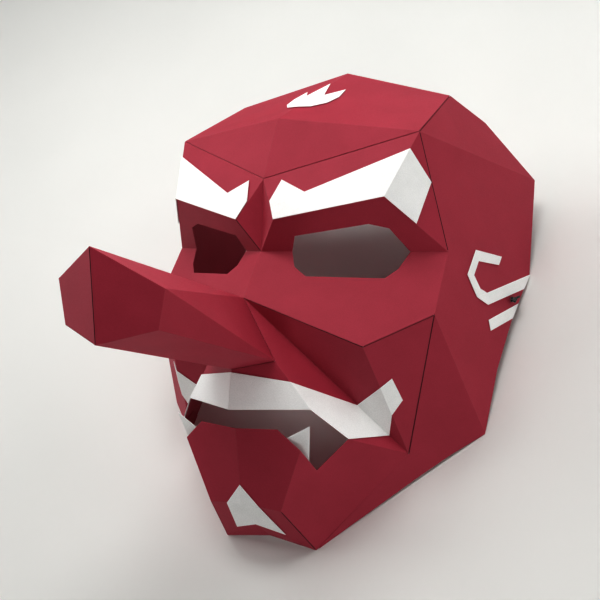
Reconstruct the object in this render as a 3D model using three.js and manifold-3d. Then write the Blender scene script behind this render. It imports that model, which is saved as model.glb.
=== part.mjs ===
// Tengu mask of folded card: a red face with a long nose, trimmed with white card.
// Millimetres. +Z points out of the face, +Y to the forehead, +X to the mask's own left.
// The mask lies face up, with the lowest corners of its rim on z = 0.

import * as THREE from 'three';
import { mergeVertices } from 'three/addons/utils/BufferGeometryUtils.js';
import Module from 'manifold-3d';

const wasm = await Module();
wasm.setup();

// Driving dimensions
const cardThickness = 0.5;
const glueGap = 0.3;
const noseTwist = 2;
const fangSetBack = 1.0;
const fangFoot = 4;
const lipClearance = 1.6;
const tipLowReach = 32.5;
const elasticRadius = 1;
const elasticSides = 12;
const elasticOverhang = 0.6;
const elasticHoleRadius = 1.5;
const knotRadius = 2.3;
const knotThickness = 3;
const knotEndRadius = 0.8;
const knotEndLength = 5;

// How the knot's two cut ends lie, in radians: their spread, their droop and their lean outwards
const knotEndSpread = 0.9;
const knotEndDroop = 0.5;
const knotEndLean = 0.5;

// Where a corner lies along a fold, as a share of the fold's length
const eyeInnerShare = 0.17;
const eyeOuterShare = 0.8;
const browBendShare = 0.27;
const lipBendShare = 0.43;
const lipNotchShare = 0.685;
const lipHeelShare = 0.88;
const lipHornTopShare = 0.37;
const lipHornBottomShare = 0.625;
const patchCornerShare = 0.46;
const curlNeckShare = 0.518;
const curlBackShare = 0.412;
const fangInnerShare = 0.43;
const fangOuterShare = 0.5;

// How firmly a corner's offset is held short where the panels round it nearly line up
const damping = 0.01;

// How much more a corner on the floor or at a seam minds that than the planes of its panels
const floorWeight = 100;
const seamWeight = 20;

const nothing = 1e-6;
const weldDistance = 1e-4;
const up = new THREE.Vector3(0, 0, 1);

const red = { color: 0xa8323f, roughness: 0.78, metalness: 0 };
const white = { color: 0xdedee2, roughness: 0.72, metalness: 0 };
const black = { color: 0x1b1a1c, roughness: 0.85, metalness: 0 };

function plane(a, b, c) {
  return new THREE.Plane().setFromCoplanarPoints(a, b, c);
}

// A point on a plane, from two of its coordinates
function lieOn(surface, known) {
  const point = new THREE.Vector3(known.x ?? 0, known.y ?? 0, known.z ?? 0);
  const missing = ['x', 'y', 'z'].find((axis) => known[axis] === undefined);
  point[missing] = -surface.distanceToPoint(point) / surface.normal[missing];
  return point;
}

// The point that is a share of the way along a fold
function partWay(from, to, share) {
  return from.clone().lerp(to, share);
}

function middlePoint(y, z) {
  return new THREE.Vector3(0, y, z);
}

function sidePoint(x, y, z) {
  return new THREE.Vector3(x, y, z);
}

function mirrored(point) {
  return new THREE.Vector3(-point.x, point.y, point.z);
}

// Corners of the card on the mask's middle line
const middle = {
  crownTip: middlePoint(145, 112),
  foreheadPeak: middlePoint(65, 155.5),
  browCentre: middlePoint(26, 145),
  noseRoot: middlePoint(-10, 120),
  noseBridge: middlePoint(-42.5, 117.5),
  tipTop: middlePoint(-99, 242),
  tipBottom: middlePoint(-136, 208),
  noseFoot: middlePoint(-82.5, 101.5),
  jawCentre: middlePoint(-108, 77),
  chinRim: middlePoint(-142, 4),
};

// Corners of the left side; the right side mirrors them, apart from the nose's slight twist
const side = {
  browOuter: sidePoint(87, 69, 134.5),
  browLow: sidePoint(76, 24.5, 128.5),
  noseWing: sidePoint(23, -71.5, 96),
  jawCorner: sidePoint(82, -82, 17),
  jawRim: sidePoint(33.5, -145, 0),
};

// Corners that lie in the plane of a panel, so that every panel is flat
const foreheadPlane = plane(middle.crownTip, middle.foreheadPeak, side.browOuter);
side.crownCorner = lieOn(foreheadPlane, { x: 79, y: 125 });
const browPlane = plane(middle.browCentre, side.browOuter, side.browLow);
side.glabella = lieOn(browPlane, { x: 13.5, y: 0.5 });
const eyelidPlane = plane(middle.noseRoot, side.glabella, side.browLow);
side.eyeEnd = lieOn(eyelidPlane, { x: 100, z: 80.5 });
const midFacePlane = plane(middle.noseRoot, middle.noseBridge, side.eyeEnd);
side.cheekOuter = lieOn(midFacePlane, { x: 102.5, y: -21 });
side.cheekInner = lieOn(midFacePlane, { x: 71, y: -52.5 });
const browEndPlane = plane(side.browOuter, side.browLow, side.eyeEnd);
const templePlane = plane(side.browOuter, side.eyeEnd, side.cheekOuter);
side.templeTop = lieOn(templePlane, { y: 127, z: 20 });
side.templeRim = lieOn(templePlane, { y: 64, z: 0 });
const upperTemplePlane = plane(side.browOuter, side.crownCorner, side.templeTop);
side.crownSide = lieOn(upperTemplePlane, { y: 133, z: 71 });
const sidePanelPlane = plane(side.cheekOuter, side.jawCorner, side.jawRim);
side.cheekRim = lieOn(sidePanelPlane, { y: -55, z: 0 });
const lowerTemplePlane = plane(side.cheekOuter, side.templeRim, side.cheekRim);
side.templeRimLow = lieOn(lowerTemplePlane, { y: 24.3, z: 4.9 });
side.cheekRimHigh = lieOn(lowerTemplePlane, { y: -12.2, z: 5.5 });
side.cheekRimLow = lieOn(sidePanelPlane, { y: -72.1, z: 1.5 });
side.jawRimHigh = lieOn(sidePanelPlane, { y: -88.4, z: 1.6 });
const muzzlePlane = plane(middle.noseBridge, side.noseWing, side.jawCorner);
side.lipBend = lieOn(muzzlePlane, { x: 43.5, y: -89.5 });
side.mouthCorner = lieOn(muzzlePlane, { x: 60.5, y: -94.5 });
const lipCentrePlane = plane(middle.noseFoot, side.noseWing, side.lipBend);
middle.lipCentre = lieOn(lipCentrePlane, { x: 0, y: -102.5 });
const jawSidePlane = plane(side.jawCorner, side.jawRim, side.mouthCorner);
side.jawNotch = lieOn(jawSidePlane, { y: -114.5, z: 47.5 });
side.fangFold = lieOn(jawSidePlane, { y: -112, z: 65.5 });
side.chinCorner = lieOn(jawSidePlane, { y: -140, z: 39 });
const jawFrontPlane = plane(middle.jawCentre, side.fangFold, side.chinCorner);
middle.chinCrease = lieOn(jawFrontPlane, { x: 0, y: -140 });
side.jawPeak = lieOn(jawFrontPlane, { x: 27.5, y: -105 });
const chinPlane = plane(middle.chinCrease, side.chinCorner, side.jawRim);
middle.chinLow = lieOn(chinPlane, { x: 0, z: 20 });

// The eye hole is cut half in the eyelid and half in the middle of the face, across their fold
side.eyeInner = partWay(middle.noseRoot, side.eyeEnd, eyeInnerShare);
side.eyeOuter = partWay(middle.noseRoot, side.eyeEnd, eyeOuterShare);
side.lidInner = lieOn(eyelidPlane, { x: 21.5, y: -0.2 });
side.lidOuter = lieOn(eyelidPlane, { x: 63, y: 15.2 });
side.lidEnd = lieOn(eyelidPlane, { x: 73, y: 17.5 });
side.eyeEndLow = lieOn(midFacePlane, { x: 76.5, y: 2.2 });
side.eyeFootOuter = lieOn(midFacePlane, { x: 70.8, y: -6.2 });
side.eyeFootInner = lieOn(midFacePlane, { x: 28.8, y: -18.2 });
side.eyeInnerLow = lieOn(midFacePlane, { x: 20.9, y: -14 });

// The nose tip's side corners; the tip is turned a little, as it was glued by hand
function noseTipCorners(twist) {
  const tipSide = sidePoint(37, -104.5 - twist, 218);
  const tipPlane = plane(middle.tipTop, middle.tipBottom, tipSide);
  const underPlane = plane(middle.tipBottom, side.noseWing, middle.noseFoot);
  const along = new THREE.Vector3().crossVectors(tipPlane.normal, underPlane.normal);
  const tipLow = middle.tipBottom.clone().addScaledVector(along, tipLowReach / along.x);
  return { tipSide, tipLow };
}

function mirroredAll(corners) {
  return Object.fromEntries(Object.entries(corners).map(([name, point]) => [name, mirrored(point)]));
}

const sides = {
  left: { ...middle, ...side, ...noseTipCorners(noseTwist) },
  right: { ...middle, ...mirroredAll(side), ...mirroredAll(noseTipCorners(-noseTwist)) },
};

// A panel is one flat face of card, its outline anticlockwise seen from outside
function makePanel(outline, holes = []) {
  const normal = new THREE.Vector3();
  outline.forEach((corner, i) => {
    const next = outline[(i + 1) % outline.length];
    normal.add(new THREE.Vector3().crossVectors(corner, next));
  });
  normal.normalize();
  return { outline, holes, normal };
}

// The same panels on both sides, from one list of corner names
function bothSides(outlines) {
  return Object.values(outlines).flatMap((names) => [
    makePanel(names.map((name) => sides.left[name])),
    makePanel(names.map((name) => sides.right[name]).reverse()),
  ]);
}

function edgesOf(panel) {
  return [panel.outline, ...panel.holes].flatMap((loop) =>
    loop.map((corner, i) => ({ from: corner, to: loop[(i + 1) % loop.length], panel })));
}

function oppositeOf(edge, edges) {
  return edges.find((other) => other.from === edge.to && other.to === edge.from);
}

// The shortest vector that best meets each wish, a direction and how far to go along it
function settle(wishes) {
  const sum = new Array(9).fill(0);
  const goal = new THREE.Vector3();
  for (const { direction, distance, weight = 1 } of wishes) {
    const d = direction.toArray();
    for (let row = 0; row < 3; row += 1) {
      for (let column = 0; column < 3; column += 1) {
        sum[row * 3 + column] += weight * d[row] * d[column];
      }
    }
    goal.addScaledVector(direction, weight * distance);
  }
  const matrix = new THREE.Matrix3().set(...sum);
  for (const diagonal of [0, 4, 8]) matrix.elements[diagonal] += damping;
  return goal.applyMatrix3(matrix.invert());
}

// Corners on the floor move only sideways
function floorWish(corner) {
  return corner.z < nothing ? [{ direction: up, distance: 0, weight: floorWeight }] : [];
}

// Panels joined round a corner by folds share one point there; panels that only touch don't
function fansAround(corner, panels) {
  const waiting = panels.filter((panel) => panel.outline.includes(corner)
    || panel.holes.some((hole) => hole.includes(corner)));
  const fans = [];
  while (waiting.length > 0) {
    const fan = [waiting.pop()];
    for (const panel of fan) {
      const edges = edgesOf(panel).filter((edge) => edge.from === corner || edge.to === corner);
      for (let i = waiting.length - 1; i >= 0; i -= 1) {
        const others = edgesOf(waiting[i]);
        if (edges.some((edge) => oppositeOf(edge, others))) fan.push(...waiting.splice(i, 1));
      }
    }
    fans.push(fan);
  }
  return fans;
}

// How far a corner moves along its panels to leave the glue gap at a seam
function seamShift(corner, fan, ownEdges, otherEdges) {
  const wishes = fan.map((panel) => ({ direction: panel.normal, distance: 0 }));
  let onSeam = false;
  for (const edge of fan.flatMap(edgesOf)) {
    if (edge.from !== corner && edge.to !== corner) continue;
    if (oppositeOf(edge, ownEdges)) continue;
    const neighbour = oppositeOf(edge, otherEdges);
    if (!neighbour) continue;
    const along = new THREE.Vector3().subVectors(edge.to, edge.from).normalize();
    const inward = new THREE.Vector3().crossVectors(edge.panel.normal, along);
    const turn = edge.panel.normal.dot(neighbour.panel.normal);
    const distance = glueGap / 2 / Math.sqrt((1 + turn) / 2);
    wishes.push({ direction: inward, distance, weight: seamWeight });
    onSeam = true;
  }
  return onSeam ? settle([...wishes, ...floorWish(corner)]) : new THREE.Vector3();
}

function triangulate(panel) {
  const u = new THREE.Vector3().subVectors(panel.outline[1], panel.outline[0]).normalize();
  const v = new THREE.Vector3().crossVectors(panel.normal, u);
  const flat = (loop) => loop.map((corner) => new THREE.Vector2(corner.dot(u), corner.dot(v)));
  return THREE.ShapeUtils.triangulateShape(flat(panel.outline), panel.holes.map(flat));
}

// Closed sheet of card over a set of panels, from the lower to the upper distance above them.
// Neighbours are the other sheets' panels, which set the mitres and the glue gaps at the seams.
function sheetGeometry(panels, { lower, upper, neighbours = [] }) {
  const ownEdges = panels.flatMap(edgesOf);
  const otherEdges = neighbours.flatMap(edgesOf);
  const positions = [];
  const index = [];
  const pointOf = new Map(panels.map((panel) => [panel, new Map()]));
  for (const corner of new Set(ownEdges.map((edge) => edge.from))) {
    const meeting = neighbours.filter((panel) => panel.outline.includes(corner));
    for (const fan of fansAround(corner, panels)) {
      const all = meeting.length > 0 ? [...new Set([...fan, ...meeting])] : fan;
      const wishes = all.map((panel) => ({ direction: panel.normal, distance: 1 }));
      const mitre = settle([...wishes, ...(lower < 0 ? floorWish(corner) : [])]);
      const shift = seamShift(corner, fan, ownEdges, otherEdges);
      for (const panel of fan) pointOf.get(panel).set(corner, positions.length / 3);
      for (const distance of [upper, lower]) {
        positions.push(...corner.clone().addScaledVector(mitre, distance).add(shift).toArray());
      }
    }
  }
  for (const panel of panels) {
    const points = [panel.outline, ...panel.holes].flat().map((corner) => pointOf.get(panel).get(corner));
    for (const [a, b, c] of triangulate(panel)) {
      index.push(points[a], points[b], points[c]);
      index.push(points[a] + 1, points[c] + 1, points[b] + 1);
    }
    for (const edge of edgesOf(panel)) {
      if (oppositeOf(edge, ownEdges)) continue;
      const from = pointOf.get(panel).get(edge.from);
      const to = pointOf.get(panel).get(edge.to);
      index.push(to, from, from + 1, to, from + 1, to + 1);
    }
  }
  const geometry = new THREE.BufferGeometry();
  geometry.setAttribute('position', new THREE.Float32BufferAttribute(positions, 3));
  geometry.setIndex(index);
  geometry.computeVertexNormals();
  return geometry;
}

const mask = new THREE.Group();
mask.name = 'tengu_mask';

function addMesh(name, geometry, look) {
  const mesh = new THREE.Mesh(geometry, new THREE.MeshStandardMaterial(look));
  mesh.name = name;
  mask.add(mesh);
  return mesh;
}

// Red card: the panels of each glued sheet
const redSheets = {
  forehead: bothSides({
    upper: ['crownTip', 'foreheadPeak', 'browOuter', 'crownCorner'],
    lower: ['browCentre', 'browOuter', 'foreheadPeak'],
  }),
  face: bothSides({
    brow: ['browCentre', 'glabella', 'browLow', 'browOuter'],
    glabella: ['browCentre', 'noseRoot', 'glabella'],
    browEnd: ['browLow', 'eyeEnd', 'browOuter'],
    eyelid: ['noseRoot', 'eyeInner', 'lidInner', 'lidOuter', 'lidEnd', 'eyeOuter', 'eyeEnd',
      'browLow', 'glabella'],
    midFace: ['noseRoot', 'noseBridge', 'cheekInner', 'cheekOuter', 'eyeEnd', 'eyeOuter', 'eyeEndLow',
      'eyeFootOuter', 'eyeFootInner', 'eyeInnerLow', 'eyeInner'],
    upperTemple: ['browOuter', 'templeTop', 'crownSide', 'crownCorner'],
    temple: ['browOuter', 'eyeEnd', 'cheekOuter', 'templeRim', 'templeTop'],
    lowerTemple: ['cheekOuter', 'cheekRim', 'cheekRimHigh', 'templeRimLow', 'templeRim'],
    sidePanel: ['cheekOuter', 'jawCorner', 'jawRim', 'jawRimHigh', 'cheekRimLow', 'cheekRim'],
  }),
  nose: bothSides({
    top: ['tipTop', 'tipSide', 'noseBridge'],
    upperSide: ['tipSide', 'noseWing', 'noseBridge'],
    lowerSide: ['tipSide', 'tipLow', 'noseWing'],
    tip: ['tipTop', 'tipBottom', 'tipLow', 'tipSide'],
    underside: ['tipBottom', 'noseFoot', 'noseWing', 'tipLow'],
  }),
  muzzle: bothSides({
    lip: ['noseBridge', 'noseWing', 'lipBend', 'mouthCorner', 'jawCorner'],
    cheek: ['noseBridge', 'jawCorner', 'cheekInner'],
    cheekEnd: ['cheekInner', 'jawCorner', 'cheekOuter'],
    lipCentre: ['noseFoot', 'lipCentre', 'lipBend', 'noseWing'],
  }),
  jaw: bothSides({
    front: ['jawCentre', 'chinCrease', 'chinCorner', 'fangFold', 'jawPeak'],
    side: ['mouthCorner', 'jawNotch', 'fangFold', 'chinCorner', 'jawRim', 'jawCorner'],
    chin: ['chinCrease', 'chinLow', 'jawRim', 'chinCorner'],
    underside: ['chinLow', 'chinRim', 'jawRim'],
  }),
};

// The elastic's hole in each lower temple, clear of the white pieces round it
const elasticAt = lieOn(lowerTemplePlane, { y: 36.4, z: 10.9 });

function cutElasticHole(sign) {
  const { holes, normal: outward } = lowerTemple(sign);
  const u = new THREE.Vector3(0, 1, 0).projectOnPlane(lowerTemplePlane.normal).normalize();
  const v = new THREE.Vector3().crossVectors(lowerTemplePlane.normal, u);
  const points = [];
  for (let i = 0; i < elasticSides; i += 1) {
    const angle = (i / elasticSides) * 2 * Math.PI;
    const point = elasticAt.clone()
      .addScaledVector(u, elasticHoleRadius * Math.cos(angle))
      .addScaledVector(v, elasticHoleRadius * Math.sin(angle));
    points.push(sign > 0 ? point : mirrored(point));
  }
  const clockwise = makePanel(points).normal.dot(outward) < 0;
  if (!clockwise) points.reverse();
  holes.push(points);
}

function lowerTemple(sign) {
  const corner = sign > 0 ? sides.left.cheekRimHigh : sides.right.cheekRimHigh;
  return redSheets.face.find((panel) => panel.outline.includes(corner));
}

cutElasticHole(1);
cutElasticHole(-1);

const redPanels = Object.values(redSheets).flat();
for (const [name, panels] of Object.entries(redSheets)) {
  const neighbours = redPanels.filter((panel) => !panels.includes(panel));
  addMesh(name, sheetGeometry(panels, { lower: -cardThickness, upper: 0, neighbours }), red);
}

// White card, glued on the red: outlines in the plane of each panel that a piece covers
const whiteLayer = { lower: glueGap, upper: glueGap + cardThickness };

// The panels of a white piece on one side; the other side mirrors them point by point
function mirroredPanels(panels, shared) {
  const twins = new Map(shared.map((point) => [point, point]));
  const twin = (point) => {
    if (!twins.has(point)) twins.set(point, mirrored(point));
    return twins.get(point);
  };
  return panels.map((panel) => makePanel(panel.outline.map(twin).reverse()));
}

function addPair(name, panels, layer) {
  addMesh(`${name}_left`, sheetGeometry(panels, layer), white);
  addMesh(`${name}_right`, sheetGeometry(mirroredPanels(panels, []), layer), white);
}

function addAcross(name, panels, shared) {
  addMesh(name, sheetGeometry([...panels, ...mirroredPanels(panels, shared)], whiteLayer), white);
}

const onBrow = (x, y) => lieOn(browPlane, { x, y });
const onTemple = (y, z) => lieOn(templePlane, { y, z });
const onLowerTemple = (y, z) => lieOn(lowerTemplePlane, { y, z });

// Eyebrow: a thick wedge, its lower edge on the brow's fold, turned down over the brow's end
const browBend = partWay(side.browOuter, side.browLow, browBendShare);
const browEndLow = lieOn(browEndPlane, { x: 87.8, y: 23.1 });
const browEndHigh = lieOn(browEndPlane, { x: 92.2, y: 48.7 });
const eyebrowPanels = [
  makePanel([side.glabella, side.browLow, browBend, onBrow(28, 20.8), onBrow(11.8, 26.7), onBrow(8, 11.9)]),
  makePanel([side.browLow, browEndLow, browEndHigh, browBend]),
];
addPair('eyebrow', eyebrowPanels, whiteLayer);

// Lip: one strip along the mouth's upper edge, its ends turned up over the cheeks
const cheekEndPlane = plane(side.cheekInner, side.jawCorner, side.cheekOuter);
const lipTopShare = lipClearance / middle.noseFoot.distanceTo(middle.lipCentre);
const lipTop = partWay(middle.noseFoot, middle.lipCentre, lipTopShare);
const lipTopBend = partWay(side.noseWing, side.lipBend, lipBendShare);
const lipNotch = partWay(middle.noseBridge, side.jawCorner, lipNotchShare);
const lipHeel = partWay(middle.noseBridge, side.jawCorner, lipHeelShare);
const lipHornTop = partWay(side.cheekInner, side.jawCorner, lipHornTopShare);
const lipHornBottom = partWay(side.cheekInner, side.jawCorner, lipHornBottomShare);
const lipPanels = [
  makePanel([lipTop, middle.lipCentre, side.lipBend, lipTopBend]),
  makePanel([lipTopBend, side.lipBend, side.mouthCorner, lipHeel, lipNotch]),
  makePanel([lipNotch, lipHeel, lipHornBottom, lipHornTop]),
  makePanel([lipHornTop, lipHornBottom, lieOn(cheekEndPlane, { x: 83.4, y: -62.2 }),
    lieOn(cheekEndPlane, { x: 80.5, y: -56.7 })]),
];
addAcross('lip', lipPanels, [lipTop, middle.lipCentre]);

// Chin patch: a short pointed beard over the chin's crease, notched at the bottom
const patchTop = lieOn(jawFrontPlane, { x: 0, y: -132 });
const patchNotch = lieOn(chinPlane, { x: 0, z: 22 });
const patchCorner = partWay(middle.chinCrease, side.chinCorner, patchCornerShare);
const patchPanels = [
  makePanel([patchTop, middle.chinCrease, patchCorner]),
  makePanel([middle.chinCrease, patchNotch, lieOn(chinPlane, { x: 18, z: 14.4 }), patchCorner]),
];
addAcross('chin_patch', patchPanels, [patchTop, patchNotch, middle.chinCrease]);

// Forehead ornament: a small flame of three tongues, folded along the middle crease
const onForehead = (x, y) => lieOn(foreheadPlane, { x, y });
const ornamentApex = onForehead(0, 124);
const ornamentFoot = onForehead(0, 83);
const ornamentPanels = [
  makePanel([
    ornamentApex, ornamentFoot, onForehead(8.5, 86), onForehead(15, 94), onForehead(17, 104.5),
    onForehead(14.5, 117), onForehead(6.5, 105),
  ]),
];
addAcross('forehead_ornament', ornamentPanels, [ornamentApex, ornamentFoot]);

// Temple curl: a hook on the temple whose tail runs down to the rim along the temple's crease
const curlNeck = partWay(side.cheekOuter, side.templeRim, curlNeckShare);
const curlBack = partWay(side.cheekOuter, side.templeRim, curlBackShare);
const curlPanels = [
  makePanel([
    curlBack, curlNeck, onTemple(21, 44), onTemple(24.5, 53), onTemple(35.5, 52.5), onTemple(47, 33),
    onTemple(54, 32.5), onTemple(40, 58), onTemple(20.5, 59),
  ]),
  makePanel([curlBack, onLowerTemple(17, 32.5), onLowerTemple(51, 2.2), side.templeRim, curlNeck]),
];
addPair('temple_curl', curlPanels, whiteLayer);

// Temple bar: a short slanting strip beside the curl's tail, cut off along the rim
const barPanels = [
  makePanel([
    onLowerTemple(9, 28), onLowerTemple(4.3, 23), onLowerTemple(26, 5.3), onLowerTemple(38.4, 3.9),
  ]),
];
addPair('temple_bar', barPanels, whiteLayer);

// Fang: a flat triangle standing up behind the jaw's edge, its foot glued inside the jaw
const fangTip = sidePoint(48.2, -101.4, 75.4);
const fangBaseInner = partWay(side.jawPeak, side.fangFold, fangInnerShare);
const fangBaseOuter = partWay(side.fangFold, side.jawNotch, fangOuterShare);
const footOf = (base) => {
  const down = new THREE.Vector3().subVectors(base, fangTip).normalize();
  return base.clone().addScaledVector(down, fangFoot);
};
const fangPanels = [makePanel([footOf(fangBaseInner), footOf(fangBaseOuter), fangTip])];
addPair('fang', fangPanels, { lower: -fangSetBack - cardThickness, upper: -fangSetBack });

// Head elastic: a round cord straight across the back, tied in a knot outside each temple
const elasticEnd = elasticAt.x + elasticOverhang;
const elasticSteps = 40;
const elastic = new THREE.CylinderGeometry(
  elasticRadius, elasticRadius, 2 * elasticEnd, elasticSides, elasticSteps);
elastic.rotateZ(Math.PI / 2);
elastic.translate(0, elasticAt.y, elasticAt.z);
addMesh('head_elastic', elastic, black);

function solid(geometry) {
  const bare = geometry.clone();
  bare.deleteAttribute('normal');
  bare.deleteAttribute('uv');
  const merged = mergeVertices(bare, weldDistance);
  const vertProperties = merged.attributes.position.array;
  const triVerts = merged.index.array;
  return new wasm.Manifold(new wasm.Mesh({ numProp: 3, vertProperties, triVerts }));
}

function geometryOf(manifold) {
  const { vertProperties, triVerts } = manifold.getMesh();
  const geometry = new THREE.BufferGeometry();
  geometry.setAttribute('position', new THREE.BufferAttribute(vertProperties, 3));
  geometry.setIndex(new THREE.BufferAttribute(triVerts, 1));
  return geometry;
}

// Knot: a flattened ball with the cord's two short cut ends
function knotGeometry(sign) {
  const ball = new THREE.SphereGeometry(knotRadius, 16, 10);
  ball.scale(knotThickness / 2 / knotRadius, 1, 1);
  let knot = solid(ball);
  for (const way of [1, -1]) {
    const end = new THREE.CylinderGeometry(knotEndRadius, knotEndRadius, knotEndLength, 8);
    end.translate(0, knotEndLength / 2, 0);
    end.rotateX(way * knotEndSpread - knotEndDroop);
    end.rotateZ(-knotEndLean);
    knot = knot.add(solid(end));
  }
  const geometry = geometryOf(knot);
  geometry.translate(elasticEnd + glueGap + knotThickness / 2, elasticAt.y, elasticAt.z);
  if (sign > 0) return geometry;
  geometry.scale(-1, 1, 1);
  const order = geometry.index.array;
  for (let i = 0; i < order.length; i += 3) {
    [order[i], order[i + 1]] = [order[i + 1], order[i]];
  }
  return geometry;
}

addMesh('elastic_knot_left', knotGeometry(1), black);
addMesh('elastic_knot_right', knotGeometry(-1), black);

export default mask;
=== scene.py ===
import bpy
import bmesh
import math
from mathutils import Matrix, Vector


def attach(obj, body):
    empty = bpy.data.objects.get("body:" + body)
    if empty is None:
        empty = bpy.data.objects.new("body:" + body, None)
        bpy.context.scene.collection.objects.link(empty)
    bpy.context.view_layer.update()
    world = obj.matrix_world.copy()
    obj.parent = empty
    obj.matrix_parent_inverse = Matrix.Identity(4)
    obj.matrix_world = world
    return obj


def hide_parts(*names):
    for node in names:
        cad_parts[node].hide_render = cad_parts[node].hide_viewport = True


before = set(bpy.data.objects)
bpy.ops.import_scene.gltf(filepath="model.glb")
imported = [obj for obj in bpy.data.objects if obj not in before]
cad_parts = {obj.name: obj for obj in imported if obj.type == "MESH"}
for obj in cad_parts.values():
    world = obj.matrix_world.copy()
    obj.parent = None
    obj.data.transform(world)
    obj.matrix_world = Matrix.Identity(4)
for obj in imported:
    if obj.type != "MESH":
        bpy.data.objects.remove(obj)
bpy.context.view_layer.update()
MM = 0.001

# Camera: where the photograph was taken from, worked out from the mask's corners, in millimetres
CAMERA_AT = Vector((415.3, -370.0, 604.4))
CAMERA_FORWARD = Vector((-0.5392, 0.4702, -0.6987))
CAMERA_UP = Vector((-0.035, 0.816, 0.577))
PHOTO_WIDTH = 600
FOCAL_PIXELS = 1214.5
SENSOR = 36.0
CLIP_NEAR = 0.01
CLIP_FAR = 50

# Elastic: its left end and its radius, as in the part's source, in millimetres, and how finely it is cut
ELASTIC_END = Vector((114.2, 36.4, 10.9))
ELASTIC_RADIUS = 1.0
ELASTIC_STEPS = 16
CORD_ROUNDNESS = 4

# Knot at each end: its distance from the card, the reach of its loops, and its cut ends, in millimetres
KNOT_STANDOFF = 1.8
KNOT_THREAD = 0.8
KNOT_LENGTH = 2.6
KNOT_HEIGHT = 1.1
KNOT_DEPTH = 0.8
KNOT_SHIFT = -2.2
KNOT_BACK = Vector((0, 0.62, -0.78))
KNOT_UP = Vector((0, 0.78, 0.62))
LONG_END = (1.8, 4.6, 2.0)
SHORT_END = (0.9, -5.2, 1.7)

# The knot's loop is cut into steps, and starts and ends this share of a turn from where it would close
KNOT_STEPS = 48
KNOT_OPEN = 0.03

# Folds, cut edges and sunk seams of the card, in millimetres. A face narrower than THIN is a cut edge's.
EDGE_WIDTH = 0.17
GROOVE_WIDTH = 0.3
GROOVE_DEPTH = 0.25
GROOVE_CUTS = 10
GROOVE_END = 1.2
CARD = 0.5
THIN = 1.9
FOLD_ANGLE = math.radians(3.0)
FLAT_ANGLE = math.radians(0.8)
WELD = 0.01

# How many groove ends long an edge is to be cut up, and a piece of it to be sunk
CUT_LENGTHS = 2
SUNK_LENGTHS = 1.5

# How far from a seam's line its outer edges and its cut edges lie, in millimetres, and the share of the
# line left out at each end
GROOVE_REACH = 0.35
SLIT_REACH = 0.6
LINE_END = 0.01

# A bead where two cards touch along a seam: its half widths outside and inside, and its depth below the face
BEAD_OUTER = 0.32
BEAD_INNER = 0.14
BEAD_DEPTH = 0.03

# Places of a card's materials. The seam's place holds near-black painted shade for the deep shadow inside
# seams and slits.
FACE, FOLD, CUT, SEAM = range(4)

# Glue tabs inside the seams, in millimetres. On a short seam a tab is this share of its length wide.
TAB_WIDTH = 9.0
TAB_SHARE = 0.45
TAB_FLANGE = 1.4
TAB_TAPER = 6.0
TAB_CARD = 0.35
TAB_INSET = 0.35
TAB_LIFT = 0.04
FLOOR_GAP = 0.6

# Softboxes near the mask: place in metres, width and height, and strength at one metre
SOFTBOXES = {
    "key": ((0.03, 0.28, 0.8), (0.75, 0.22), 0.45),
    "near_fill": ((-0.45, 0.2, 0.65), (0.4, 0.4), 0.11),
    "far_fill": ((-0.9, 0.4, 1.2), (0.6, 0.6), 0.09),
    "left": ((0.8, 0.1, 0.9), (0.4, 0.4), 0.09),
}
SOFTBOX_AIM = Vector((0.0, 0.0, 0.1))

# Soft lamps far off, all round the mask: direction towards each, and strength
LAMPS = {
    "ceiling": ((-0.17, 0.17, 0.97), 0.105),
    "low_right": ((-0.91, 0.0, 0.42), 0.235),
    "low_back_left": ((0.64, 0.64, 0.42), 0.075),
    "low_back": ((0.0, 0.91, 0.42), 0.055),
    "low_front_left": ((0.64, -0.64, 0.42), 0.03),
    "side_left": ((0.99, 0.0, 0.14), 0.195),
    "side_right": ((-0.99, 0.0, 0.14), 0.175),
    "side_back": ((0.0, 0.99, 0.14), 0.25),
    "side_back_left": ((0.7, 0.7, 0.14), 0.095),
    "side_front": ((0.0, -0.99, 0.14), 0.2),
    "side_front_left": ((0.7, -0.7, 0.14), 0.145),
}
LAMP_SPREAD = math.radians(28)
LAMP_COLOUR = (1.0, 0.998, 0.99)
CONTRAST_GAMMA = 0.7

# A wall all round, far beyond the mask, in metres, and the painted light it glows with at its foot and at
# its top, dimmer at its foot
WALL_RADIUS = 5.8
WALL_HEIGHT = 6.0
WALL_SIDES = 96
WALL_FOOT_GLOW = (0.3, 0.3, 0.285)
WALL_TOP_GLOW = (0.62, 0.62, 0.6)

# Card: scales in cycles per metre, the fibres' stretch along each axis, and bump depths in metres
FIBRE_SCALE = 1500
CROSSED_SCALE = 1700
MOTTLE_SCALE = 35
FLECK_SCALE = 2600
WAVE_SCALE = 14
FIBRE_STRETCH = (1, 3.2, 1.6)
CROSSED_STRETCH = (3.4, 1, 1.3)
FIBRE_DARK = (0.9, 0.9, 0.9)
FIBRE_LIGHT = (1.06, 1.06, 1.06)
FIBRE_SHARE = 0.85
MOTTLE_RANGE = (0.3, 0.7)
FLECK_RANGE = (0.7, 0.78)
GLOSS_SPREAD = 0.08
CARD_SPECULAR = 0.4
GRAIN_DEPTH = 0.00006
WAVE_STRENGTH = 0.5
WAVE_DEPTH = 0.0011

# The card's core: scales in cycles per metre, and how strong and deep its fibres stand out
CORE_SCALE = 2200
WEAR_SCALE = 160
WEAR_RANGE = (0.3, 0.75)
WEAR_SHARE = 0.5
CORE_STRENGTH = 0.4
CORE_DEPTH = 0.00008

# The elastic's braid: each set of ribs is turned this far in radians; depth in metres
BRAID_TURN = 0.6
BRAID_SCALE = 420
BRAID_DISTORTION = 0.4
BRAID_DARK = (0.006, 0.006, 0.007)
BRAID_LIGHT = (0.045, 0.043, 0.045)
BRAID_RANGE = (0.1, 0.8)
BRAID_ROUGHNESS = 0.75
BRAID_SHEEN = 0.3
BRAID_STRENGTH = 0.8
BRAID_DEPTH = 0.0002

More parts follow.
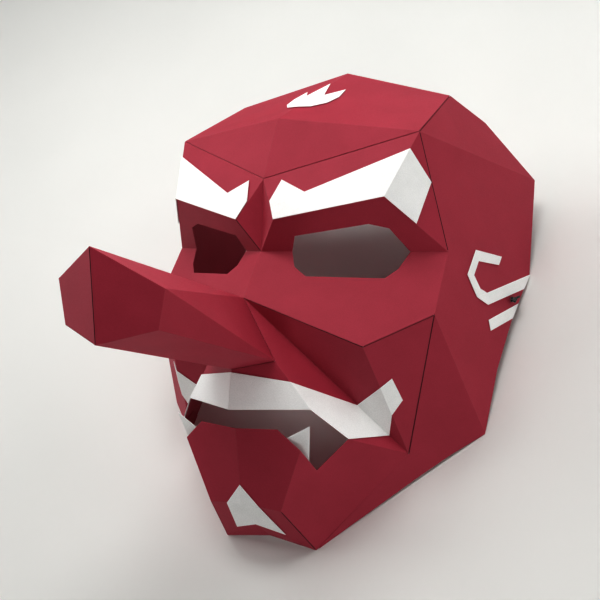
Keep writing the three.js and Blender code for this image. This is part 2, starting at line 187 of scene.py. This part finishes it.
# The floor: half its side in metres, the scale of its mottle in cycles per metre, and its two tones
FLOOR_REACH = 6.0
FLOOR_SCALE = 3
FLOOR_DARK = (0.78, 0.785, 0.765)
FLOOR_LIGHT = (0.82, 0.82, 0.8)
FLOOR_ROUGHNESS = 0.8

# The room's own faint light
ROOM_COLOUR = (1.0, 0.985, 0.955, 1)
ROOM_STRENGTH = 0.01

# How rough every noise is, from one octave to the next
NOISE_ROUGHNESS = 0.6

# Places of the two colours among the Mix node's inputs
MIX_FIRST = 6
MIX_SECOND = 7


def link(obj):
    bpy.context.scene.collection.objects.link(obj)
    return obj


def new_material(name, roughness):
    material = bpy.data.materials.new(name)
    material.use_nodes = True
    tree = material.node_tree
    shader = tree.nodes["Principled BSDF"]
    shader.inputs["Roughness"].default_value = roughness
    return material, tree, shader


def add_node(tree, kind, **values):
    node = tree.nodes.new(kind)
    for name, value in values.items():
        if name in node.inputs:
            node.inputs[name].default_value = value
        else:
            setattr(node, name, value)
    return node


def noise_node(tree, scale, detail, stretch=(1, 1, 1)):
    """Noise over the object's own space; the scale is in cycles per metre."""
    place = add_node(tree, "ShaderNodeTexCoord")
    mapping = add_node(tree, "ShaderNodeMapping", Scale=stretch)
    tree.links.new(place.outputs["Object"], mapping.inputs["Vector"])
    noise = add_node(tree, "ShaderNodeTexNoise", Scale=scale, Detail=detail, Roughness=NOISE_ROUGHNESS)
    tree.links.new(mapping.outputs["Vector"], noise.inputs["Vector"])
    return noise


def ramp(tree, source, low, high, start=0.35, end=0.65):
    node = add_node(tree, "ShaderNodeValToRGB")
    node.color_ramp.elements[0].position = start
    node.color_ramp.elements[0].color = (*low, 1)
    node.color_ramp.elements[1].position = end
    node.color_ramp.elements[1].color = (*high, 1)
    tree.links.new(source, node.inputs["Fac"])
    return node


def mix(tree, factor, first, second, blend="MIX"):
    node = add_node(tree, "ShaderNodeMix", data_type="RGBA", blend_type=blend)
    if isinstance(factor, float):
        node.inputs[0].default_value = factor
    else:
        tree.links.new(factor, node.inputs[0])
    tree.links.new(first, node.inputs[MIX_FIRST])
    tree.links.new(second, node.inputs[MIX_SECOND])
    return node.outputs[2]


def card_material(name, dark, light, fleck, roughness, grain):
    """Uncoated card: short fibres, a soft mottle, flecks, and a slight hand-made waviness."""
    material, tree, shader = new_material(name, roughness)
    fibres = noise_node(tree, FIBRE_SCALE, 3, FIBRE_STRETCH)
    crossed = noise_node(tree, CROSSED_SCALE, 3, CROSSED_STRETCH)
    mottle = noise_node(tree, MOTTLE_SCALE, 4)
    flecks = noise_node(tree, FLECK_SCALE, 1)
    waves = noise_node(tree, WAVE_SCALE, 2)
    base = ramp(tree, mottle.outputs["Fac"], dark, light, *MOTTLE_RANGE)
    fibre_tone = ramp(tree, fibres.outputs["Fac"], FIBRE_DARK, FIBRE_LIGHT)
    toned = mix(tree, FIBRE_SHARE, base.outputs["Color"], fibre_tone.outputs["Color"], "MULTIPLY")
    fleck_mask = ramp(tree, flecks.outputs["Fac"], (0, 0, 0), (1, 1, 1), *FLECK_RANGE)
    fleck_colour = add_node(tree, "ShaderNodeRGB")
    fleck_colour.outputs[0].default_value = (*fleck, 1)
    flecked = mix(tree, fleck_mask.outputs["Color"], toned, fleck_colour.outputs[0])
    tree.links.new(flecked, shader.inputs["Base Color"])
    smooth, rough = roughness - GLOSS_SPREAD, roughness + GLOSS_SPREAD
    gloss = ramp(tree, crossed.outputs["Fac"], (smooth,) * 3, (rough,) * 3)
    tree.links.new(gloss.outputs["Color"], shader.inputs["Roughness"])
    shader.inputs["Specular IOR Level"].default_value = CARD_SPECULAR
    height = add_node(tree, "ShaderNodeMath", operation="ADD")
    tree.links.new(fibres.outputs["Fac"], height.inputs[0])
    tree.links.new(crossed.outputs["Fac"], height.inputs[1])
    fine = add_node(tree, "ShaderNodeBump", Strength=grain, Distance=GRAIN_DEPTH)
    tree.links.new(height.outputs[0], fine.inputs["Height"])
    slow = add_node(tree, "ShaderNodeBump", Strength=WAVE_STRENGTH, Distance=WAVE_DEPTH)
    tree.links.new(waves.outputs["Fac"], slow.inputs["Height"])
    tree.links.new(fine.outputs["Normal"], slow.inputs["Normal"])
    tree.links.new(slow.outputs["Normal"], shader.inputs["Normal"])
    return material


def edge_material(name, dark, light, roughness):
    """The card's bare core, seen along folds and cut edges: rough, with fine fibres and some wear. With
    near-black colours it also gives the painted shade inside seams.
    """
    material, tree, shader = new_material(name, roughness)
    fibres = noise_node(tree, CORE_SCALE, 4)
    wear = noise_node(tree, WEAR_SCALE, 3)
    core = ramp(tree, fibres.outputs["Fac"], dark, light)
    worn = ramp(tree, wear.outputs["Fac"], dark, light, *WEAR_RANGE)
    blended = mix(tree, WEAR_SHARE, core.outputs["Color"], worn.outputs["Color"])
    tree.links.new(blended, shader.inputs["Base Color"])
    bump = add_node(tree, "ShaderNodeBump", Strength=CORE_STRENGTH, Distance=CORE_DEPTH)
    tree.links.new(fibres.outputs["Fac"], bump.inputs["Height"])
    tree.links.new(bump.outputs["Normal"], shader.inputs["Normal"])
    return material


RED = card_material("red_card_face", (0.375, 0.036, 0.064), (0.415, 0.043, 0.075), (0.47, 0.075, 0.11),
                    0.62, 0.35)
RED_FOLD = edge_material("red_card_fold", (0.32, 0.036, 0.058), (0.43, 0.062, 0.09), 0.72)
RED_CUT = edge_material("red_card_cut_edge", (0.37, 0.05, 0.075), (0.46, 0.095, 0.125), 0.85)
# Near-black painted shade for the inside of seams and slits, where the red card lies in deep shadow
RED_SEAM_SHADE = edge_material("red_card_seam_painted_shade", (0.03, 0.005, 0.007), (0.07, 0.01, 0.015), 0.85)
WHITE = card_material("white_card_face", (0.83, 0.83, 0.82), (0.9, 0.9, 0.89), (0.94, 0.94, 0.93),
                      0.6, 0.3)
WHITE_FOLD = edge_material("white_card_fold", (0.78, 0.78, 0.77), (0.88, 0.88, 0.87), 0.7)
WHITE_CUT = edge_material("white_card_cut_edge", (0.86, 0.86, 0.85), (0.96, 0.96, 0.95), 0.8)
RED_CARD = (RED, RED_FOLD, RED_CUT, RED_SEAM_SHADE)
WHITE_CARD = (WHITE, WHITE_FOLD, WHITE_CUT, WHITE_CUT)


def elastic_material():
    """Braided elastic: fine crossing ribs in black thread with a faint sheen."""
    material, tree, shader = new_material("black_elastic", BRAID_ROUGHNESS)
    place = add_node(tree, "ShaderNodeTexCoord")
    braids = []
    for turn in (BRAID_TURN, -BRAID_TURN):
        mapping = add_node(tree, "ShaderNodeMapping")
        mapping.inputs["Rotation"].default_value = (turn, turn, turn)
        wave = add_node(tree, "ShaderNodeTexWave", Scale=BRAID_SCALE, Distortion=BRAID_DISTORTION, Detail=1)
        tree.links.new(place.outputs["Object"], mapping.inputs["Vector"])
        tree.links.new(mapping.outputs["Vector"], wave.inputs["Vector"])
        braids.append(wave)
    crossed = add_node(tree, "ShaderNodeMath", operation="MULTIPLY")
    tree.links.new(braids[0].outputs["Fac"], crossed.inputs[0])
    tree.links.new(braids[1].outputs["Fac"], crossed.inputs[1])
    tone = ramp(tree, crossed.outputs[0], BRAID_DARK, BRAID_LIGHT, *BRAID_RANGE)
    tree.links.new(tone.outputs["Color"], shader.inputs["Base Color"])
    shader.inputs["Sheen Weight"].default_value = BRAID_SHEEN
    bump = add_node(tree, "ShaderNodeBump", Strength=BRAID_STRENGTH, Distance=BRAID_DEPTH)
    tree.links.new(crossed.outputs[0], bump.inputs["Height"])
    tree.links.new(bump.outputs["Normal"], shader.inputs["Normal"])
    return material


ELASTIC = elastic_material()


def make_camera():
    data = bpy.data.cameras.new("camera")
    camera = link(bpy.data.objects.new("camera", data))
    forward = CAMERA_FORWARD.normalized()
    right = forward.cross(CAMERA_UP).normalized()
    above = right.cross(forward)
    turn = Matrix((right, above, -forward)).transposed().to_4x4()
    camera.matrix_world = Matrix.Translation(CAMERA_AT * MM) @ turn
    data.sensor_width = SENSOR
    data.lens = SENSOR * FOCAL_PIXELS / PHOTO_WIDTH
    data.clip_start = CLIP_NEAR
    data.clip_end = CLIP_FAR
    bpy.context.scene.camera = camera


def curve_piece(name, points, radius):
    data = bpy.data.curves.new(name, "CURVE")
    data.dimensions = "3D"
    data.bevel_depth = radius * MM
    data.bevel_resolution = CORD_ROUNDNESS
    data.use_fill_caps = True
    spline = data.splines.new("POLY")
    spline.points.add(len(points) - 1)
    for target, point in zip(spline.points, points):
        target.co = (*(Vector(point) * MM), 1)
    data.materials.append(ELASTIC)
    return link(bpy.data.objects.new(name, data))


def knot_place(sign, out, back, up):
    """A step from the knot's middle: away from the card, back along it and up it."""
    return Vector((sign * out, 0, 0)) + KNOT_BACK * back + KNOT_UP * up


def knot_points(sign, at):
    """A small overhand knot as a three-lobed loop, with both cut ends led out of it."""
    points = []
    for i in range(KNOT_STEPS + 1):
        t = 2 * math.pi * (KNOT_OPEN + (1 - 2 * KNOT_OPEN) * i / KNOT_STEPS)
        up = (math.sin(t) + 2 * math.sin(2 * t)) / 3 * KNOT_HEIGHT
        back = (math.cos(t) - 2 * math.cos(2 * t)) / 3 * KNOT_LENGTH
        points.append(at + knot_place(sign, -math.sin(3 * t) * KNOT_DEPTH, back, up))
    long_end = at + knot_place(sign, *LONG_END)
    short_end = at + knot_place(sign, *SHORT_END)
    return [long_end, points[0].lerp(long_end, 0.5)] + points + [points[-1].lerp(short_end, 0.5), short_end]


def make_elastic():
    half = ELASTIC_END.x
    shares = [2 * i / ELASTIC_STEPS - 1 for i in range(ELASTIC_STEPS + 1)]
    points = [(half * share, ELASTIC_END.y, ELASTIC_END.z) for share in shares]
    cord = curve_piece("head_elastic_cord", points, ELASTIC_RADIUS)
    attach(cord, "root")
    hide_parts("head_elastic")
    for side, sign in (("left", 1), ("right", -1)):
        hole = Vector((sign * half, ELASTIC_END.y, ELASTIC_END.z))
        at = hole + knot_place(sign, KNOT_STANDOFF, KNOT_SHIFT, 0)
        knot = curve_piece("knot_" + side, knot_points(sign, at), KNOT_THREAD)
        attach(knot, "root")
        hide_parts("elastic_knot_" + side)


def is_wall(face):
    """A cut edge's face is only as wide as the card is thick."""
    longest = max(edge.calc_length() for edge in face.edges)
    return face.calc_area() / longest < THIN * MM and len(face.verts) <= 4


def near_line(point, start, end, reach):
    along = (end - start) * MM
    share = (point - start * MM).dot(along) / along.length_squared
    foot = start * MM + along * min(1, max(0, share))
    return (point - foot).length < reach * MM and LINE_END < share < 1 - LINE_END


def is_fold(edge):
    """Whether two faces of the card meet at an angle along this edge."""
    if len(edge.link_faces) != 2 or any(part.material_index != FACE for part in edge.link_faces):
        return False
    return edge.calc_face_angle() > FOLD_ANGLE


def folds_along(work, lines):
    """The outer fold edges that lie along one of these lines."""
    found = []
    for edge in work.edges:
        middle = (edge.verts[0].co + edge.verts[1].co) / 2
        if is_fold(edge) and any(near_line(middle, *line, GROOVE_REACH) for line in lines):
            found.append(edge)
    return found


def sink_grooves(work, grooves):
    """A groove sunk along each seam that the CAD model has as a fold, ending just short of its corners, its
    faces painted near black as painted shade.
    """
    for edge in folds_along(work, grooves):
        for corner in list(edge.verts):
            bmesh.utils.edge_split(edge, corner, GROOVE_END * MM / edge.calc_length())
    cut_from = CUT_LENGTHS * GROOVE_END * MM
    sunk_from = SUNK_LENGTHS * GROOVE_END * MM
    long_parts = [edge for edge in folds_along(work, grooves) if edge.calc_length() > cut_from]
    bmesh.ops.bisect_edges(work, edges=long_parts, cuts=GROOVE_CUTS)
    chosen = [edge for edge in folds_along(work, grooves) if edge.calc_length() > sunk_from]
    if not chosen:
        return
    # The groove's faces take the seam's near-black painted shade
    bmesh.ops.bevel(work, geom=chosen, offset=GROOVE_WIDTH * MM, segments=2, profile=0.5, affect="EDGES",
                    material=SEAM, clamp_overlap=False)
    work.normal_update()
    sunk = [vert for vert in work.verts if all(part.material_index == SEAM for part in vert.link_faces)]
    for vert in sunk:
        vert.co -= vert.normal * GROOVE_DEPTH * MM


def break_edges(work, grooves):
    """A narrow chamfer on every fold and on both sides of every cut edge."""
    chosen = []
    for edge in work.edges:
        cut_sides = sum(part.material_index == CUT for part in edge.link_faces)
        if is_fold(edge) or (len(edge.link_faces) == 2 and cut_sides == 1):
            chosen.append(edge)
    bmesh.ops.bevel(work, geom=chosen, offset=EDGE_WIDTH * MM, segments=1, profile=0.5, affect="EDGES",
                    material=FOLD, clamp_overlap=False)
    made = [part for part in work.faces if part.material_index == FOLD]
    beside = [part for part in made if touches_cut(part)]
    # Chamfers along a groove also take the seam's near-black painted shade
    for part in made:
        middle = part.calc_center_median()
        if any(near_line(middle, *line, GROOVE_REACH) for line in grooves):
            part.material_index = SEAM
    for part in beside:
        part.material_index = CUT


def touches_cut(face):
    return any(other.material_index == CUT for edge in face.edges for other in edge.link_faces)


def paint_slit_shade(work, slits):
    """The cut edges deep in an open seam are painted near black: painted shade for the shadow deep in the
    slit.
    """
    for part in work.faces:
        if part.material_index == CUT:
            middle = part.calc_center_median()
            if any(near_line(middle, *line, SLIT_REACH) for line in slits):
                part.material_index = SEAM


def dress(node, materials, grooves=(), slits=()):
    """The card of a CAD node with its folds creased, its cut edges broken, and its seams sunk and coloured
    with near-black painted shade.
    """
    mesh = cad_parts[node].data.copy()
    mesh.name = node + "_card"
    obj = link(bpy.data.objects.new(node + "_card", mesh))
    mesh.materials.clear()
    for material in materials:
        mesh.materials.append(material)
    work = bmesh.new()
    work.from_mesh(mesh)
    bmesh.ops.remove_doubles(work, verts=work.verts, dist=WELD * MM)
    bmesh.ops.dissolve_limit(work, angle_limit=FLAT_ANGLE, verts=work.verts, edges=work.edges)
    for part in work.faces:
        part.smooth = False
        part.material_index = CUT if is_wall(part) else FACE
    sink_grooves(work, grooves)
    break_edges(work, grooves)
    paint_slit_shade(work, slits)
    work.to_mesh(mesh)
    work.free()
    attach(obj, "root")
    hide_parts(node)
    return obj


def mirror(point):
    return Vector((-point.x, point.y, point.z))


# Corners of the card where the seams run, as in the part's source, in millimetres
CROWN_TIP = Vector((0, 145, 112))
FOREHEAD_PEAK = Vector((0, 65, 155.5))
BROW_CENTRE = Vector((0, 26, 145))
NOSE_BRIDGE = Vector((0, -42.5, 117.5))
NOSE_FOOT = Vector((0, -82.5, 101.5))
TIP_TOP = Vector((0, -99, 242))
TIP_BOTTOM = Vector((0, -136, 208))
LIP_CENTRE = Vector((0, -102.5, 89.1))
CROWN_CORNER = Vector((79, 125, 105.8))
BROW_OUTER = Vector((87, 69, 134.5))
BROW_LOW = Vector((76, 24.5, 128.5))
TEMPLE_TOP = Vector((108.5, 127, 20))
EYE_END = Vector((100, 21.4, 80.5))
CHEEK_OUTER = Vector((102.5, -21, 76.2))
CHEEK_INNER = Vector((71, -52.5, 87))
CHEEK_RIM = Vector((117.8, -55, 0))
JAW_CORNER = Vector((82, -82, 17))
JAW_RIM = Vector((33.5, -145, 0))
CHIN_CORNER = Vector((25.7, -140, 39))
MOUTH_CORNER = Vector((60.5, -94.5, 51.9))
NOSE_WING = Vector((23, -71.5, 96))
TIP_SIDE = Vector((37, -104.5, 218))
TIP_FAR_SIDE = Vector((-37, -102.5, 218))
TIP_FAR_LOW = Vector((-32.5, -121.8, 202.8))
GLABELLA_RIGHT = Vector((-13.5, 0.5, 137.3))
NOSE_ROOT = Vector((0, -10, 120))

# A point inside the face and one inside the nose, in millimetres
FACE_INSIDE = Vector((0, -20, 20))
NOSE_INSIDE = Vector((0, -100, 165))

# Each glued seam: its two ends, a corner of the panel it starts on, and one of the panel it is glued under
SEAMS = {
    "brow": (BROW_CENTRE, BROW_OUTER, FOREHEAD_PEAK, BROW_LOW),
    "crown": (BROW_OUTER, CROWN_CORNER, CROWN_TIP, TEMPLE_TOP),
    "cheek_inner": (CHEEK_INNER, NOSE_BRIDGE, JAW_CORNER, EYE_END),
    "cheek_outer": (CHEEK_OUTER, CHEEK_INNER, JAW_CORNER, EYE_END),
    "cheek_side": (JAW_CORNER, CHEEK_OUTER, CHEEK_INNER, CHEEK_RIM),
    "jaw_side": (JAW_RIM, JAW_CORNER, MOUTH_CORNER, CHEEK_RIM),
    "mouth_corner": (MOUTH_CORNER, JAW_CORNER, JAW_RIM, NOSE_BRIDGE),
    "nose_side": (NOSE_WING, NOSE_BRIDGE, TIP_SIDE, JAW_CORNER),
    "nose_foot": (NOSE_FOOT, NOSE_WING, TIP_BOTTOM, LIP_CENTRE),
}

# Seams whose cards touch, so that no line shows between them
CLOSED_SEAMS = ("jaw_side", "mouth_corner")

# Seams that show as a dark line of painted shade: folds that are really glued, and slits between two pieces
# of card
GROOVES = [(BROW_OUTER, EYE_END), (CHIN_CORNER, JAW_RIM)]
CENTRE_GROOVES = [(TIP_TOP, TIP_BOTTOM), (TIP_TOP, TIP_FAR_SIDE), (TIP_BOTTOM, TIP_FAR_LOW),
                  (GLABELLA_RIGHT, NOSE_ROOT)]
SLITS = [(BROW_OUTER, CROWN_CORNER), (CHEEK_OUTER, JAW_CORNER)]
MUZZLE_SLITS = [(CHEEK_OUTER, CHEEK_INNER), (CHEEK_INNER, NOSE_BRIDGE)]


def panel_axes(start, end, corner):
    """The direction into a panel from one of its edges, and the panel's normal to the mask's inside."""
    along = (end - start).normalized()
    into = corner - start
    into = (into - along * into.dot(along)).normalized()
    normal = along.cross(into)
    inside = NOSE_INSIDE if abs(corner.z) > NOSE_INSIDE.z else FACE_INSIDE
    return (into, normal) if normal.dot(inside - start) > 0 else (into, -normal)


def above_floor(corner, along):
    """A tab's corner, moved along its seam until it is clear of the floor."""
    if corner.z > FLOOR_GAP:
        return corner
    return corner + along * ((FLOOR_GAP - corner.z) / along.z)


def seam_piece(name, rows):
    """A thin closed strip along a seam: rows of three corners at each end, for its outer and inner face."""
    work = bmesh.new()
    loops = []
    for at_start, at_end in rows:
        loop = [at_start[0], at_end[0], at_end[1], at_end[2], at_start[2], at_start[1]]
        loops.append([work.verts.new(corner * MM) for corner in loop])
    for loop in loops:
        work.faces.new((loop[0], loop[1], loop[2], loop[5]))
        work.faces.new((loop[5], loop[2], loop[3], loop[4]))
    outer, inner = loops
    for i in range(len(outer)):
        j = (i + 1) % len(outer)
        work.faces.new((outer[i], outer[j], inner[j], inner[i]))
    bmesh.ops.recalc_face_normals(work, faces=work.faces)
    mesh = bpy.data.meshes.new(name)
    work.to_mesh(mesh)
    work.free()
    mesh.materials.append(RED)
    obj = link(bpy.data.objects.new(name, mesh))
    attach(obj, "root")


def clear_inset(corner, other, tip, width, least):
    """How far from a seam's end a strip of this width is inside the panel that has this third corner."""
    along = (other - corner).normalized()
    side = tip - corner
    ahead = side.dot(along)
    across = (side - along * ahead).length
    return max(least, width * ahead / across + TAB_INSET)


def seam_rows(start, end, first, second, levels):
    """Corners of a strip along a seam. Each level: its depth, its widths, and its insets at both ends."""
    into_first, normal_first = panel_axes(start, end, first)
    into_second, normal_second = panel_axes(start, end, second)
    bisector = (normal_first + normal_second) / (1 + normal_first.dot(normal_second))
    rows = []
    for depth, widths, insets_at_ends in levels:
        ends = []
        for corner, other, insets in zip((start, end), (end, start), insets_at_ends):
            along = (other - corner).normalized()
            places = (into_first * widths[0] + normal_first * depth, bisector * depth,
                      into_second * widths[1] + normal_second * depth)
            ends.append([above_floor(corner + place + along * inset, along)
                         for place, inset in zip(places, insets)])
        rows.append(ends)
    return rows


def glue_tab(name, start, end, first, second):
    """A folded tab: a narrow flange on the first panel and the glued flap under the second."""
    length = (end - start).length
    widths = (TAB_FLANGE, min(TAB_WIDTH, length * TAB_SHARE))
    insets = []
    for corner, other in ((start, end), (end, start)):
        flange_inset = clear_inset(corner, other, first, widths[0], 2 * TAB_INSET)
        flap_inset = clear_inset(corner, other, second, widths[1], TAB_TAPER)
        insets.append((flange_inset, TAB_INSET, flap_inset))
    depth = CARD + TAB_LIFT
    levels = [(depth, widths, insets), (depth + TAB_CARD, widths, insets)]
    seam_piece(name, seam_rows(start, end, first, second, levels))


def seam_bead(name, start, end, first, second):
    """The pressed edge of a seam whose two cards touch."""
    insets = ((TAB_INSET,) * 3,) * 2
    levels = [(BEAD_DEPTH, (BEAD_OUTER, BEAD_OUTER), insets), (CARD, (BEAD_INNER, BEAD_INNER), insets)]
    seam_piece(name, seam_rows(start, end, first, second, levels))


def make_tabs():
    for name, corners in SEAMS.items():
        for side, ends in (("_left", corners), ("_right", [mirror(corner) for corner in corners])):
            glue_tab("tab_" + name + side, *ends)
            if name in CLOSED_SEAMS:
                seam_bead("edge_" + name + side, *ends)


def both_sides(lines):
    return lines + [(mirror(start), mirror(end)) for start, end in lines]


def make_card():
    grooves = both_sides(GROOVES) + CENTRE_GROOVES
    slits = both_sides(SLITS)
    for node in ("forehead", "face", "nose", "jaw"):
        dress(node, RED_CARD, grooves, slits)
    dress("muzzle", RED_CARD, grooves, slits + both_sides(MUZZLE_SLITS))
    for name in ("eyebrow", "temple_curl", "temple_bar", "fang"):
        dress(name + "_left", WHITE_CARD)
        dress(name + "_right", WHITE_CARD)
    for node in ("lip", "chin_patch", "forehead_ornament"):
        dress(node, WHITE_CARD)


def make_floor():
    material, tree, shader = new_material("floor_paint", FLOOR_ROUGHNESS)
    mottle = noise_node(tree, FLOOR_SCALE, 3)
    tone = ramp(tree, mottle.outputs["Fac"], FLOOR_DARK, FLOOR_LIGHT, *MOTTLE_RANGE)
    tree.links.new(tone.outputs["Color"], shader.inputs["Base Color"])
    mesh = bpy.data.meshes.new("floor")
    reach = FLOOR_REACH
    corners = [(-reach, -reach, 0), (reach, -reach, 0), (reach, reach, 0), (-reach, reach, 0)]
    mesh.from_pydata(corners, [], [(0, 1, 2, 3)])
    mesh.materials.append(material)
    link(bpy.data.objects.new("floor", mesh))


def make_wall():
    """A pale wall beyond the floor, for low views, which glows with painted light, dimmer at its foot than
    at its top. It neither lights the mask nor shades it.
    """
    material, tree, shader = new_material("wall_painted_glow", 1.0)
    place = add_node(tree, "ShaderNodeTexCoord")
    axes = add_node(tree, "ShaderNodeSeparateXYZ")
    height = add_node(tree, "ShaderNodeMath", operation="DIVIDE")
    height.inputs[1].default_value = WALL_HEIGHT
    tree.links.new(place.outputs["Object"], axes.inputs["Vector"])
    tree.links.new(axes.outputs["Z"], height.inputs[0])
    # Painted light: the wall glows with its own colour, dimmer towards its foot
    tone = ramp(tree, height.outputs[0], WALL_FOOT_GLOW, WALL_TOP_GLOW, 0.0, 1.0)
    tree.links.new(tone.outputs["Color"], shader.inputs["Emission Color"])
    shader.inputs["Emission Strength"].default_value = 1.0
    shader.inputs["Base Color"].default_value = (0, 0, 0, 1)
    shader.inputs["Specular IOR Level"].default_value = 0.0
    turns = [2 * math.pi * i / WALL_SIDES for i in range(WALL_SIDES)]
    ring = [(WALL_RADIUS * math.cos(turn), WALL_RADIUS * math.sin(turn)) for turn in turns]
    corners = [(*point, z) for z in (0, WALL_HEIGHT) for point in ring]
    faces = []
    for i in range(WALL_SIDES):
        j = (i + 1) % WALL_SIDES
        faces.append((i, i + WALL_SIDES, j + WALL_SIDES, j))
    mesh = bpy.data.meshes.new("wall")
    mesh.from_pydata(corners, [], faces)
    mesh.materials.append(material)
    wall = link(bpy.data.objects.new("wall", mesh))
    wall.visible_diffuse = False
    wall.visible_glossy = False
    wall.visible_transmission = False
    wall.visible_shadow = False


def add_light(name, kind, direction):
    data = bpy.data.lights.new(name, kind)
    data.color = LAMP_COLOUR
    light = link(bpy.data.objects.new(name, data))
    light.rotation_mode = "QUATERNION"
    light.rotation_quaternion = Vector(direction).to_track_quat("Z", "Y")
    return light


def make_softbox(name, place, size, strength):
    light = add_light(name, "AREA", Vector(place) - SOFTBOX_AIM)
    light.location = place
    light.data.shape = "RECTANGLE"
    light.data.size, light.data.size_y = size
    light.data.energy = strength * math.pi ** 2


def make_lamp(name, direction, strength):
    light = add_light(name, "SUN", direction)
    light.data.angle = LAMP_SPREAD
    light.data.energy = strength * math.pi


def make_light():
    world = bpy.data.worlds.new("studio")
    bpy.context.scene.world = world
    world.use_nodes = True
    background = world.node_tree.nodes["Background"]
    background.inputs["Color"].default_value = ROOM_COLOUR
    background.inputs["Strength"].default_value = ROOM_STRENGTH
    for name, (place, size, strength) in SOFTBOXES.items():
        make_softbox(name, place, size, strength)
    for name, (direction, strength) in LAMPS.items():
        make_lamp(name, direction, strength)
    bpy.context.scene.view_settings.view_transform = "Standard"
    bpy.context.scene.view_settings.gamma = CONTRAST_GAMMA


make_camera()
make_elastic()
make_card()
make_tabs()
make_floor()
make_wall()
make_light()
